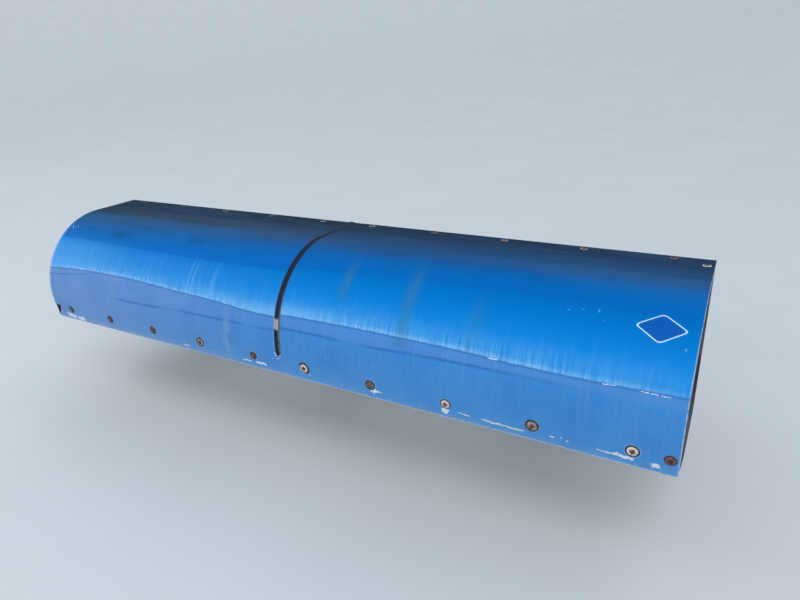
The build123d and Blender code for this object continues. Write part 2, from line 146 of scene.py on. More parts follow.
# Meshes
class Shape:
    """A mesh under construction: points, faces and the finish of each face."""

    def __init__(self):
        self.points = []
        self.faces = []
        self.finishes = []

    def add(self, points, faces, finish=0):
        start = len(self.points)
        self.points.extend(points)
        self.faces.extend([start + index for index in face] for face in faces)
        self.finishes.extend([finish] * len(faces))

    def loft(self, rings, finish=0, caps=True):
        """Join closed rings of points, with a flat face at both ends."""
        count = len(rings[0])
        last = count * (len(rings) - 1)
        faces = []
        for low in range(0, last, count):
            for index in range(count):
                after = (index + 1) % count
                faces.append((low + index, low + after, low + count + after, low + count + index))
        if caps:
            faces.extend((range(count), range(last, last + count)))
        self.add([point for ring in rings for point in ring], faces, finish)

    def plate(self, outer, inner):
        """A sheet between two grids of points; its inner face has finish 1."""
        width = len(outer[0])
        count = width * len(outer)
        quads = []
        for row in range(0, count - width, width):
            for corner in range(row, row + width - 1):
                quads.append((corner, corner + 1, corner + width + 1, corner + width))
        border = [*range(width), *range(2 * width - 1, count - 1, width),
                  *range(count - 1, count - 1 - width, -1), *range(count - 2 * width, 0, -width)]
        rim = [(start, end, end + count, start + count)
               for start, end in zip(border, border[1:] + border[:1])]
        inside = [[index + count for index in quad] for quad in quads]
        self.add([point for row in outer + inner for point in row], quads + rim + inside)
        self.finishes[-len(inside):] = [1] * len(inside)

    def turned(self, centre, axis, outline, sides=24, finish=0, turn=0, caps=True):
        """Rings of (radius, height) about an axis; a radius may be a function of the angle."""
        axis = Vector(axis).normalized()
        first = axis.orthogonal().normalized()
        second = axis.cross(first)
        rings = []
        for radius, height in outline:
            middle = Vector(centre) + height * axis
            ring = []
            for angle in circle(sides, turn):
                reach = radius(angle) if callable(radius) else radius
                ring.append(middle + reach * around(angle, first, second))
            rings.append(ring)
        self.loft(rings, finish, caps)

    def link(self, name, finishes, crease=35):
        """An object with this mesh, its edges sharp from the crease angle on."""
        mesh = bpy.data.meshes.new(name)
        mesh.from_pydata(self.points, [], self.faces)
        for finish in finishes:
            mesh.materials.append(finish)
        mesh.polygons.foreach_set("material_index", self.finishes)
        tidy = bmesh.new()
        tidy.from_mesh(mesh)
        bmesh.ops.remove_doubles(tidy, verts=tidy.verts, dist=MERGE)
        bmesh.ops.recalc_face_normals(tidy, faces=tidy.faces)
        tidy.to_mesh(mesh)
        tidy.free()
        mesh.shade_smooth()
        mesh.set_sharp_from_angle(angle=radians(crease))
        return new_object(name, mesh)

    def make(self, name, slot, replaced=(), finishes=(), crease=35):
        """The piece, riding on the pack's body, with its slot's finish if no other is given."""
        piece = self.link(name, finishes or [SLOT_FINISHES[slot]], crease)
        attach(piece, "root")
        if replaced:
            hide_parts(*replaced)


# Materials
def share_of(value, stops):
    """How far a value lies from the place of the first stop to that of the last."""
    start, end = stops[0][0], stops[-1][0]
    return (value - start) / (end - start)


def maths(operation):
    """A method that adds a Math node."""
    return lambda value, other=0: value.math(operation, other)


class Value:
    """A node's output. Each sum, product and so on adds a node to the same finish."""

    def __init__(self, finish, socket):
        self.finish = finish
        self.socket = socket

    def math(self, operation, other=0):
        return self.finish.node("Math", {0: self, 1: other}, operation=operation)

    __add__ = maths("ADD")
    __sub__ = maths("SUBTRACT")
    __mul__ = maths("MULTIPLY")
    __truediv__ = maths("DIVIDE")
    __or__ = maths("MAXIMUM")
    __abs__ = maths("ABSOLUTE")

    def __rsub__(self, other):
        return self.finish.node("Math", {0: other, 1: self}, operation="SUBTRACT")

    def rise(self, low, high, top=1):
        """0 at low, top at high, smooth between; low may be above high."""
        inputs = {0: self, 1: low, 2: high, 4: top}
        return self.finish.node("MapRange", inputs, interpolation_type="SMOOTHSTEP")

    def near(self, centre, width):
        """1 at the centre, 0 from this far away."""
        return abs(self - centre).rise(width, 0)

    def noise(self, scale, detail=2):
        """Noise at this vector, from 0 to 1 and about 0.5 on average."""
        return self.finish.node("TexNoise", {"Vector": self, "Scale": scale, "Detail": detail})

    def split(self):
        outputs = self.finish.node("SeparateXYZ", {0: self}).socket.node.outputs
        return [Value(self.finish, output) for output in outputs]

    def under(self, *layers):
        """This colour under layers of (share, colour), the lowest first."""
        colour = self
        for share, layer in layers:
            colour = self.finish.mix(share, colour, layer)
        return colour


class Finish:
    """A node material. Each method adds nodes and gives back an output."""

    def __init__(self, name):
        self.material = bpy.data.materials.new(name)
        self.material.use_nodes = True
        self.nodes = self.material.node_tree.nodes
        self.place = self.node("TexCoord", {}, "Object")
        self.x, self.y, self.z = self.place.split()

    def fill(self, node, inputs):
        """Link an output to each socket, or set its number, vector or colour's tuple."""
        for name, value in inputs.items():
            if isinstance(value, Value):
                self.material.node_tree.links.new(value.socket, node.inputs[name])
            elif value is not None:
                node.inputs[name].default_value = tint(value) if isinstance(value, tuple) else value

    def node(self, kind, inputs, output=0, **settings):
        node = self.nodes.new("ShaderNode" + kind)
        for name, setting in settings.items():
            setattr(node, name, setting)
        self.fill(node, inputs)
        return Value(self, node.outputs[output])

    def combine(self, x, y):
        return self.node("CombineXYZ", {0: x, 1: y})

    def mix(self, share, first, second):
        return self.node("Mix", {0: share, 6: first, 7: second}, 2, data_type="RGBA")

    def ramp(self, value, stops):
        """Colours blended between (value, colour) stops."""
        blend = self.node("ValToRGB", {0: share_of(value, stops)})
        bands = blend.socket.node.color_ramp.elements
        for _ in stops[2:]:
            bands.new(1)
        for band, (position, colour) in zip(bands, stops):
            band.position = share_of(position, stops)
            band.color = tint(colour)
        return blend

    def curve(self, value, points, low, high):
        """Smooth curve through (value, result) points; results lie between low and high."""
        bend = self.node("FloatCurve", {"Value": share_of(value, points)})
        mapping = bend.socket.node.mapping
        line = mapping.curves[0].points
        for _ in points[2:]:
            line.new(0.5, 0.5)
        for knot, (position, result) in zip(line, points):
            knot.location = (share_of(position, points), (result - low) / (high - low))
        mapping.update()
        return bend * (high - low) + low

    def angle(self, centre_y, centre_z):
        """Degrees round an axis along X: 0 on the outer side, 90 on top."""
        return (self.z - centre_z).math("ARCTAN2", centre_y - self.y).math("DEGREES")

    def noise(self, scale, detail=2, stretch=None):
        """Noise over the piece, so many to the metre."""
        if not stretch:
            return self.place.noise(scale, detail)
        inputs = {0: self.place, 1: Vector(stretch)}
        return self.node("VectorMath", inputs, operation="MULTIPLY").noise(scale, detail)

    def streaks(self, pitch, drift, detail=4):
        """Noise in lines up the cover: so many to the metre, drifting little with the angle."""
        up = self.angle(ARC_Y, ARC_Z) * drift
        return self.combine(self.x * pitch, up).noise(1, detail)

    def cells(self, scale):
        """Cells, each with its own value from 0 to 1."""
        return self.node("TexVoronoi", {"Vector": self.place, "Scale": scale}, "Color").split()[0]

    def facing(self):
        return self.node("NewGeometry", {}, "Normal")

    def facing_up(self):
        """1 on faces that look up, 0 on upright ones and below."""
        return self.facing().split()[2].rise(0.2, 0.9)

    def rounded(self, radius=0.0012):
        """Shading of edges rounded off to this radius."""
        return self.node("Bevel", {"Radius": radius}, samples=4)

    def worn_edge(self):
        """1 near an edge, 0 on open faces."""
        inputs = {0: self.rounded(0.0022), 1: self.facing()}
        return self.node("VectorMath", inputs, "Value", operation="DOT_PRODUCT").rise(0.99, 0.86)

    def bump(self, height, depth, under=None):
        """Relief of this depth in metres, over another relief if there is one."""
        return self.node("Bump", {"Distance": depth, "Height": height, "Normal": under})

    def set(self, colour, roughness, relief, shine=0.5, **values):
        """The shader's usual sockets, and others by their names with underscores."""
        inputs = {"Base Color": colour, "Roughness": roughness, "Normal": relief,
                  "Specular IOR Level": shine}
        inputs.update({name.replace("_", " "): value for name, value in values.items()})
        self.fill(self.nodes["Principled BSDF"], inputs)
        return self.material


# Tones up the cover, the blue paint with a painted sky reflection low in the band and painted shade
# towards the roof's inner edge: degrees round the quarter, colour
PAINT_REFLECTION_AND_SHADE_TONES = (
    (24, (58, 154, 230)), (34, (40, 149, 228)), (41, (18, 137, 220)), (50, (4, 127, 210)),
    (62, (0, 116, 194)), (71, (0, 105, 183)), (80, (0, 92, 162)), (90, (2, 82, 140)),
    (100, (8, 68, 112)), (115, (3, 38, 64)), (128, (1, 8, 16)),
)
# Painted reflection of the ground low on the cover: degrees, colour
GROUND_REFLECTION_TONES = ((-15, (84, 151, 211)), (4, (72, 145, 211)), (17, (68, 143, 212)), (30, (76, 148, 218)))
PALE_BLUE = (120, 154, 207)
# Painted sky reflection
SKY_REFLECTION_BLUE = (82, 156, 222)
SUNLIT_BLUE = (92, 172, 242)
# Painted shade
SHADED_BLUE = (26, 88, 130)
DEEP_BLUE = (6, 98, 184)
LINE_BLUE = (30, 98, 174)
RUBBED_BLUE = (0, 88, 146)
# Rubbed paint and painted highlight
RUBBED_AND_HIGHLIGHT_PALE = (164, 190, 226)
# Road film and painted shade
DARK_FILM_AND_SHADE = (8, 34, 54)
FRINGE_SLATE = (40, 84, 128)
STREAK_WHITE = (160, 214, 250)
STAIN_GREEN = (74, 126, 138)
STAIN_PALE = (142, 172, 200)
# Road dust, darkened as painted shade
ROAD_DUST_AND_SHADE = (38, 54, 70)
SMEAR_DUST = (68, 88, 106)
PALE_DUST = (94, 94, 92)
SPLASH_DUST = (176, 180, 184)
BARE_METAL = (206, 212, 218)

# Angles on the cover where the painted reflections and painted shade change: the lower edge of the
# painted sky reflection, painted reflection lines below it, and a painted shade edge above it: (x,
# degrees)
SKY_REFLECTION_EDGE = (
    (-1.62, 28), (-1.03, 31.2), (-0.69, 29.4), (-0.39, 27.9), (-0.01, 25.4),
    (0.03, 27.4), (0.75, 28), (1.2, 26.2), (1.62, 27),
)
LOWER_LINE = (
    (-1.62, 15.5), (-1.02, 13.4), (-0.58, 15.2), (-0.01, 16.5),
    (0.03, 18.7), (0.21, 19.1), (0.44, 18.9), (0.8, 20.6), (1.62, 20.8),
)
SECOND_LINE = ((-1.62, 22.6), (-1.52, 23.9), (-1.4, 25.6), (-1.28, 28.2))
UPPER_EDGE = ((-1.62, 55.5), (-0.01, 55.5), (0.03, 58), (0.35, 60.8), (0.95, 64), (1.62, 62))
# Spots where the film is rubbed off, and a scratch: x, angle, half width, half angle, strength
RUBBED = (
    (-1.17, 64.5, 0.15, 6, 0.7), (-1.022, 73.8, 0.036, 4, 0.8), (-0.63, 69.4, 0.085, 5, 0.75),
    (-0.781, 86, 0.006, 9, 0.95), (-1.4, 66, 0.08, 4, 0.35), (1.3, 84, 0.09, 6, 0.45),
)
# Stains that run down the cover: x, half width, low angle, high angle, strength, colour
STAINS = (
    (0.309, 0.036, 43, 72, 0.46, STAIN_GREEN),
    (0.613, 0.044, 22, 74, 0.5, STAIN_GREEN),
    (0.897, 0.04, 25, 60, 0.26, STAIN_GREEN),
    (-0.2, 0.018, 12, 30, 0.25, STAIN_GREEN),
    (-0.28, 0.032, 8, 28, 0.62, STAIN_PALE),
    (-0.298, 0.03, -10, 14, 0.5, STAIN_PALE),
    (-0.548, 0.01, 29, 54, 0.26, STREAK_WHITE),
    (-0.521, 0.009, 29, 54, 0.24, STREAK_WHITE),
    (-0.394, 0.024, 29, 52, 0.14, STREAK_WHITE),
    (-0.842, 0.01, 30, 33, 0.8, STREAK_WHITE),
)


def upper_paint_reflection_and_shade(paint):
    """Glossy paint with a painted sky reflection in its band and painted shade towards the roof's inner
    edge, and the share of road film on it, from the upper curve over the roof.
    """
    x, up, rear = paint.x, paint.up, paint.rear
    coarse = paint.noise(9, 3, (0.45, 1, 1)) - 0.5
    wobble = coarse * (x.rise(0.2, -0.8, 12) + 8) + (paint.fine - 0.5) * 9
    wobble = wobble - x.rise(0.2, 1.6, 6.5) + x.rise(-0.9, -1.6, 3)
    height = up + wobble * up.rise(58, 82)
    film = height.rise(x.rise(0.2, 1.3, 16) + 62, 98)
    haze = x.near(-0.6, 1.5) * height.rise(72, 94, 0.22) * up.rise(114, 100)
    smears = paint.noise(7, 3, (0.45, 7, 7)).rise(0.42, 0.72, 0.36)
    fringe = (height + paint.broad * 9).rise(81, 85, 0.24) * x.rise(-0.3, 0.3)
    # A second, darker edge above the painted sky reflection band: painted shade, clear only behind the
    # seam
    over = (up - paint.curve(x, UPPER_EDGE, 50, 70)) / (x.rise(0, 0.9, 7) + 1)
    # Paint tones with painted sky reflection and painted shade, under layers of painted light and road
    # film
    return paint.ramp(height, PAINT_REFLECTION_AND_SHADE_TONES).under(
        # Painted sky reflection: lighter blue low in the band towards the rear
        (rear * up.rise(60, 42, 0.26), SKY_REFLECTION_BLUE),
        (x.rise(-0.95, -1.5, 0.45) * up.rise(62, 44), SUNLIT_BLUE),
        # Painted shade: darker blue higher up towards the rear
        (rear * height.rise(54, 76, 0.62), SHADED_BLUE),
        # Road film and painted shade on the rear of the roof
        (rear * height.rise(84, 100, 0.75), DARK_FILM_AND_SHADE),
        (haze, PALE_DUST),
        (film * smears, SMEAR_DUST),
        (fringe, FRINGE_SLATE),
        (over.rise(-0.6, 0.6) * up.rise(76, 58, 0.45), DEEP_BLUE),
    ), film


def streaks_and_sky_reflection(paint, colour):
    """Streaks that rise from the lower edge of the painted sky reflection, brighter near it as a painted
    reflection of the bright sky, and rubbed spots.
    """
    x, above, fine = paint.x, paint.above, paint.fine
    # Pale streaks, pale lines, darker streaks and a bright rim just above the edge: painted reflection of
    # the bright sky near the horizon, broken into streaks
    fade = (1 - above / (paint.broad * 20 + 7)) | 0
    light = fine.rise(0.3, 0.76) * (fade.math("POWER", 1.8) * x.rise(1.75, 1.15))
    lines = paint.tall.rise(0.5, 0.78) * above.rise(27, 12) * (x.rise(0.4, -0.6, 0.06) + 0.04)
    horizon_reflection = above.rise(3.2, 0.2) * fine.rise(0.2, 0.66, 0.62)
    horizon_reflection = (horizon_reflection | x.near(-0.05, 0.7) * above.rise(9, 1, 0.38)) * x.rise(1.9, 1.1)
    colour = colour.under(
        (light * 0.4, STREAK_WHITE),
        (lines, STREAK_WHITE),
        (fine.rise(0.46, 0.26) * above.rise(15, 2, 0.18), DEEP_BLUE),
        (horizon_reflection * paint.noise(12, 3).rise(0.22, 0.52), STREAK_WHITE),
    )
    for place, centre, half_width, half_angle, strength in RUBBED:
        spot = x.near(place, half_width) * paint.up.near(centre, half_angle)
        spot = spot * paint.mottle.rise(0.3, 0.55, 1.6 * strength)
        colour = colour.under((spot, RUBBED_BLUE))
    return colour


def flank_ground_reflection_and_marks(paint):
    """Painted reflection of the ground under the band, with a paler strip and thin painted reflection
    lines below it.
    """
    x, up = paint.x, paint.up
    line = up - paint.curve(x, LOWER_LINE, 10, 24)
    fade = paint.combine(x, 2).noise(4, 2).rise(0.25, 0.55, 0.62)
    fade = fade * x.rise(-1.12, -0.98) * x.rise(1.5, 0.8)
    second = (up - paint.curve(x, SECOND_LINE, 20, 30)).near(0, 0.8)
    scuffs = paint.noise(34, 4, (1, 1, 2.2))
    drops = paint.noise(1, 2, (150, 150, 45)).rise(0.58, 0.7, 0.3)
    splash = (x.rise(0.2, -1.6, 0.35) + 0.2) * paint.noise(70, 5).rise(0.36, 0.66)
    # Painted ground reflection: pale tones, a paler strip, thin lines and a darker line at the edge;
    # under mottle, scuffs, streaks and road splash
    return paint.ramp(up, GROUND_REFLECTION_TONES).under(
        (paint.rear * 0.8, PALE_BLUE),
        (line.rise(-1.2, 1, 0.16), PALE_BLUE),
        (line.near(0, 1.5) * fade, LINE_BLUE),
        (second * x.rise(-1.22, -1.36, 0.55), LINE_BLUE),
        (paint.mottle.rise(0.4, 0.7, 0.16), DEEP_BLUE),
        (scuffs.rise(0.6, 0.72, 0.22), PALE_BLUE),
        (paint.tall.rise(0.5, 0.72, 0.2), PALE_BLUE),
        (paint.fine.rise(0.45, 0.75, 0.14), PALE_BLUE),
        (paint.above.near(-0.5, 1.3) * 0.46, LINE_BLUE),
        (drops * x.near(0.43, 0.24) * up.rise(13, 6), SPLASH_DUST),
        (splash * paint.z.rise(HEM_Z + 0.045, HEM_Z + 0.004), SPLASH_DUST),
    )


def stained(paint, colour):
    """Stains that run down the cover, washed out in places."""
    for place, half_width, low, high, strength, tone in STAINS:
        span = paint.up.rise(high + 6, high - 16) * paint.up.rise(low - 3, low + 3)
        patchy = paint.tall.rise(0.3, 0.7, 0.5 * strength) + 0.5 * strength
        colour = colour.under((paint.x.near(place, half_width) * span * patchy, tone))
    return colour


def wear_and_painted_light(paint, colour):
    """Paint rubbed thin along the cut edges and beside the strip, with painted highlight there, and gone
    at the very edge.
    """
    x, up, z = paint.x, paint.up, paint.z
    edge_noise = paint.noise(60, 3)
    from_end = HALF_LENGTH - abs(x)
    hem = z.rise(HEM_Z + 0.0075, HEM_Z + 0.003)
    ends = from_end.rise(0.006, 0.0025) * up.rise(70, 20)
    rear_end = x.rise(0.017 - HALF_LENGTH, 0.009 - HALF_LENGTH) * up.rise(76, 40, 1.5)
    beside = abs(x - SEAM_X).near(0.0158, 0.003) * up.rise(30, 18)
    beside = beside * z.rise(strip_low.z, strip_low.z + 0.006)
    bare = z.rise(HEM_Z + 0.0024, HEM_Z + 0.0008) | from_end.rise(0.0024, 0.0008)
    # Pale lines along the hem, the ends and beside the strip: rubbed paint and painted highlight; bare
    # metal at the very edge
    return colour.under(
        ((hem | (ends | rear_end) | beside) * edge_noise.rise(0.25, 0.55, 0.55), RUBBED_AND_HIGHLIGHT_PALE),
        (bare * edge_noise.rise(0.3, 0.46, 0.7), BARE_METAL),
    )


def cover_paint():
    """Blue glossy paint: rougher low down under a painted ground reflection, streaks with a painted sky
    reflection above it, road film and painted shade on the roof.
    """
    paint = Finish("weathered_blue_paint")
    paint.up = paint.angle(ARC_Y, ARC_Z)
    paint.rear = paint.x.rise(0.4, -1.6)
    paint.mottle = paint.noise(7, 4)
    # Streaks of rain and brush run up and down the cover
    paint.fine = paint.streaks(230, 0.05)
    paint.broad = paint.streaks(26, 0.04)
    paint.tall = paint.streaks(70, 0.012, 3)
    # Degrees above the lower edge of the painted sky reflection
    edge = paint.curve(paint.x, SKY_REFLECTION_EDGE, 20, 36) + (paint.broad - 0.5) * 1.2
    paint.above = paint.up - edge
    colour, film = upper_paint_reflection_and_shade(paint)
    # Below the edge: a painted ground reflection, on rougher paint
    lower_flank = paint.above.rise(0.5, -0.5)
    specks = paint.noise(120, 5).rise(0.5, 0.66, 0.3)
    # Road dust on the roof, darkened as painted shade
    colour = streaks_and_sky_reflection(paint, colour).under((lower_flank, flank_ground_reflection_and_marks(paint)), (film * specks, ROAD_DUST_AND_SHADE))
    colour = wear_and_painted_light(paint, stained(paint, colour))
    rough = lower_flank * 0.16 + 0.22 + film * 0.42 + (paint.mottle - 0.5) * 0.1
    relief = paint.bump(paint.noise(420), 0.0001)
    relief = paint.bump(paint.noise(2.6, 1), 0.0012, relief)
    return paint.set(colour, rough, relief, 0.045, Specular_Tint=(90, 160, 255),
                     Coat_Weight=0.035, Coat_Roughness=0.08)


def inside_paint():
    """Dull blue paint inside the cover, under dust and spray that come up from the road."""
    paint = Finish("blue_paint_inside")
    cloud = paint.noise(5, 6, (1, 2, 1)).rise(0.36, 0.66)
    specks = paint.noise(170, 3).rise(0.58, 0.68, 0.5)
    shade = paint.mix(paint.noise(14, 3).rise(0.35, 0.7), (12, 74, 138), (20, 88, 154)).under(
        (paint.z.rise(ARC_Z + 0.3, HEM_Z, 0.9) * cloud, (104, 102, 98)),
        (paint.streaks(60, 0.02).rise(0.54, 0.74, 0.35), (70, 82, 92)),
        (specks, (92, 90, 86)),
    )
    return paint.set(shade, cloud * 0.35 + 0.5, paint.bump(specks, 0.0002), 0.2)


def dusty_black():
    """Black paint with dust on its upper faces, run marks, stone marks, and rust at its edges."""
    paint = Finish("black_paint_dusty")
    dust = (104, 98, 88)
    patches = paint.noise(9, 5)
    settled = paint.facing_up() * 0.7 | patches.rise(0.35, 0.75, 0.385)
    edge = paint.worn_edge()
    shade = paint.mix(settled, (30, 31, 34), dust).under(
        (paint.noise(1, 4, (60, 60, 2)).rise(0.5, 0.74, 0.4), dust),
        (paint.noise(240, 1).rise(0.7, 0.76, 0.5), dust),
        (edge * paint.noise(40, 5).rise(0.44, 0.62, 0.85), (104, 64, 46)),
        (edge * paint.noise(70, 4).rise(0.56, 0.64, 0.8), (138, 138, 136)),
    )
    relief = paint.bump(paint.noise(500), 0.00015, paint.rounded())
    return paint.set(shade, patches.rise(0.3, 0.8, 0.25) + 0.42, relief)


def sprayed_navy_shade():
    """Dark navy of the end panels, darker than the cover's blue as painted shade: road spray low down,
    marks of water that ran, fine scuffs.
    """
    paint = Finish("navy_shade_sprayed")
    low = paint.z.rise(0.2, -0.55)
    cloud = paint.noise(6, 6).rise(0.36, 0.68, 0.6)
    # Dark navy base: painted shade, under road spray
    shade = paint.mix(low * cloud, (9, 18, 38), (74, 78, 84)).under(
        (paint.noise(1, 4, (1, 55, 2.2)).rise(0.52, 0.74, 0.3), (60, 70, 86)),
        (paint.noise(230).rise(0.62, 0.72, 0.45) * low, (120, 118, 114)),
        (paint.noise(30, 4, (1, 1, 5)).rise(0.64, 0.72, 0.35), (70, 84, 108)),
    )
    relief = paint.bump(paint.noise(500), 0.00015, paint.rounded())
    return paint.set(shade, cloud * 0.4 + 0.42, relief, 0.05)


def seam_rubber():
    """Black strip, paler along its lips, with a pale patch low on the curve that is a painted reflection
    on its two lobes.
    """
    rubber = Finish("seam_strip_rubber")
    up = rubber.angle(ARC_Y, ARC_Z)
    across = abs(rubber.x - STRIP_X)
    streaks = rubber.noise(60, 3, (4, 1, 1))
    lips = across.rise(0.0118, 0.0128) * streaks.rise(0.2, 0.5, 0.65)
    ragged = up + streaks * 1.6
    patch = ragged.rise(17.4, 18.8) * ragged.rise(25.6, 24)
    wear_and_painted_light = (across.rise(0.0004, 0.0034, 0.55) + 0.35) * across.rise(0.0126, 0.0112)
    shade = rubber.mix(streaks.rise(0.3, 0.8), (6, 30, 52), (16, 44, 70)).under(
        (up.rise(62, 95, 0.5), (12, 38, 62)),
        (lips * (up.rise(60, 20, 0.75) + 0.25), (134, 130, 126)),
        # Pale patch: painted reflection on the strip's two lobes
        (patch * wear_and_painted_light, (206, 198, 194)),
    )
    return rubber.set(shade, 0.48, rubber.bump(rubber.noise(350), 0.0002), 0.2)


def galvanised():
    """Zinc coated sheet with its large crystals and a little white bloom."""
    zinc = Finish("galvanised_rail")
    crystal = zinc.cells(90)
    bloom = zinc.noise(14, 5).rise(0.48, 0.72, 0.55)
    shade = zinc.mix(crystal, (126, 130, 134), (176, 180, 184)).under((bloom, (112, 108, 102)))
    relief = zinc.bump(crystal, 0.00008, zinc.rounded())
    return zinc.set(shade, crystal * 0.18 + 0.38, relief, Metallic=0.75)


# Winding of the tank: width of a hoop's tape, where the hoops end, bands on a dome
TAPE_PITCH = 0.012
HOOP_END = tank_high.x - 0.165
DOME_BANDS = 16


def wound_fibre():
    """Resin-bound fibre wound round the tank: narrow hoops, crossed bands on the domes."""
    fibre = Finish("wound_fibre")
    turn = fibre.angle(TANK_Y, TANK_Z) * (1 / 360)

    # Domes: bands wound both ways that go over and under each other
    along = fibre.x * 2
    ways = [(along + turn) * DOME_BANDS, (along - turn) * DOME_BANDS]
    counts = [way.math("FLOOR") for way in ways]
    over = (counts[0] + counts[1]).math("FLOORED_MODULO", 2)
    tones = [fibre.combine(count * 1.7, seed).noise(1, 0) for count, seed in zip(counts, (0.3, 7.3))]
    threads = [fibre.combine(across * 14, way * 0.7).noise(1, 3)
               for across, way in zip(ways, reversed(ways))]
    edges = [way.math("PINGPONG", 0.5).rise(0.06, 0) for way in ways]
    band_edge = edges[0] | edges[1]
    dome = fibre.mix(fibre.mix(over, *tones).rise(0.35, 0.65), (30, 30, 31), (58, 55, 51)).under(
        (fibre.mix(over, *threads).rise(0.42, 0.75, 0.5), (88, 84, 78)),
        (band_edge * 0.7, (16, 16, 17)),
    )

    # Wall: hoops of tape, each with its own tone, and the strands in it
    tape = fibre.x * (1 / TAPE_PITCH)
    own = fibre.combine(tape.math("FLOOR"), turn * 2).noise(1, 0)
    seam = tape.math("PINGPONG", 0.5).rise(0.05, 0)
    strands = fibre.combine(fibre.x * 900, turn * 14).noise(1, 3)
    wall = fibre.mix(own.rise(0.3, 0.7), (30, 30, 31), (50, 48, 46)).under(
        (strands.rise(0.42, 0.75, 0.55), (84, 80, 74)),
        (seam * 0.6, (18, 18, 19)),
    )

    on_wall = abs(fibre.x).rise(HOOP_END, HOOP_END - 0.03)
    dust = fibre.facing_up() * fibre.noise(6, 4).rise(0.3, 0.7, 0.5)
    shade = fibre.mix(on_wall, dome, wall).under((dust, (120, 114, 104)))
    relief = fibre.bump(1 - fibre.mix(on_wall, band_edge, seam), 0.0005)
    relief = fibre.bump(strands, 0.0002, relief)
    return fibre.set(shade, 0.38, relief, Coat_Weight=0.5, Coat_Roughness=0.15)


def plain_rubber(name, colour):
    """Moulded rubber with a fine grain and dust in patches."""
    rubber = Finish(name)
    shade = rubber.mix(rubber.noise(30, 4).rise(0.35, 0.8, 0.45), colour, (92, 90, 88))
    return rubber.set(shade, 0.72, rubber.bump(rubber.noise(600), 0.0002))


def worked_metal(name, bright, dull, roughness, stretch, grain=120):
    """Metal with the marks of its making, stretched along them, and dull patches."""
    metal = Finish(name)
    marks = metal.noise(grain, 3, stretch)
    patches = metal.noise(18, 5)
    shade = metal.mix(patches.rise(0.42, 0.78, 0.8), bright, dull)
    shade = shade.under((marks.rise(0.35, 0.75, 0.25), dull))
    rough = patches.rise(0.4, 0.8, 0.22) + roughness
    relief = metal.bump(marks, 0.00012, metal.rounded(0.0008))
    return metal.set(shade, rough, relief, Metallic=0.95)


def moulded_plastic(name, colour, roughness):
    """Moulded plastic or thick paint, slightly faded in patches."""
    plastic = Finish(name)
    faded = [0.75 * share + 0.12 for share in tint(colour)[:3]] + [1]
    shade = plastic.mix(plastic.noise(40, 4).rise(0.4, 0.8, 0.35), colour, faded)
    return plastic.set(shade, roughness, plastic.bump(plastic.noise(700, 1), 0.0001))


def screw_finish(name, colour, spots, share, roughness):
    """Painted or rusty small hardware, with spots of a second colour."""
    metal = Finish(name)
    patches = metal.noise(160, 4)
    shade = metal.mix(patches.rise(0.6 - share * 0.3, 0.72 - share * 0.3), colour, spots)
    return metal.set(shade, roughness, metal.bump(patches, 0.0004))


def sign_finish(name, colour, faded):
    """Printed film, a little faded and dusty."""
    film = Finish(name)
    shade = film.mix(film.noise(50, 4).rise(0.4, 0.8, 0.4), colour, faded)
    return film.set(shade, 0.35, film.bump(film.noise(300), 0.00005), 0.12)


BLUE_PAINT = cover_paint()
INSIDE_PAINT = inside_paint()
SLOT_FINISHES = {
    "blue_paint": BLUE_PAINT,
    "navy_paint": sprayed_navy_shade(),
    "black_trim": seam_rubber(),
    "rail_paint": galvanised(),
    "wound_composite": wound_fibre(),
    "bare_aluminium": worked_metal("turned_aluminium", (206, 208, 212), (140, 142, 146), 0.26, (6, 1, 1)),
    "black_paint": dusty_black(),
    "liner_rubber": plain_rubber("liner_rubber_black", (30, 30, 31)),
    "strap_steel": worked_metal("brushed_strap", (196, 198, 200), (122, 120, 116), 0.28, (9, 1, 1), 60),
    "zinc_steel": worked_metal("zinc_plated", (198, 196, 184), (130, 122, 104), 0.32, (1, 1, 3)),
    "valve_brass": worked_metal("machined_brass", (214, 178, 104), (140, 110, 62), 0.24, (8, 1, 1)),
    "red_handle": moulded_plastic("red_handle_paint", (178, 22, 18), 0.35),
    "coil_plastic": moulded_plastic("coil_moulding", (26, 27, 30), 0.5),
    "pipe_steel": worked_metal("drawn_tube", (200, 202, 206), (140, 142, 144), 0.2, (1, 1, 1), 90),
    "cap_rubber": plain_rubber("red_cap_rubber", (170, 30, 24)),
}


def dress_nodes():
    """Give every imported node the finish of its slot."""
    for row in frame["record"]["subparts"]:
        node = frame["nodes"][row["node"]]
        for place in node.material_slots:
            place.material = SLOT_FINISHES[row["material_slot"]]


# Places on a sheet: closer together near a screw, this many on each side of it
COLUMN_STEP = 0.025
ROW_STEP = 0.012
STRIP_STEP = 0.007
FINE_STEP = 0.006
FINE_COUNT = 4


def stations(start, end, step, centres=()):
    """Places from start to end, closer together round the centres."""
    count = max(1, round((end - start) / step))
    places = [end, *(start + (end - start) * index / count for index in range(1, count))]
    for centre in centres:
        places += [centre + index * FINE_STEP for index in range(-FINE_COUNT, FINE_COUNT + 1)]
    kept = [start]
    for place in sorted(places):
        if place <= end and place - kept[-1] > FINE_STEP / 3:
            kept.append(place)
    kept[-1] = end
    return kept


# Cover panels
def screw_places(side):
    return [side * (HALF_LENGTH - inset) for inset in SCREW_INSETS]


SCREW_PLACES = sorted(screw_places(-1) + screw_places(1))
WAVE_HEIGHT = 0.0011
DIMPLE_DEPTH = 0.00027
DIMPLE_REACH = 0.016


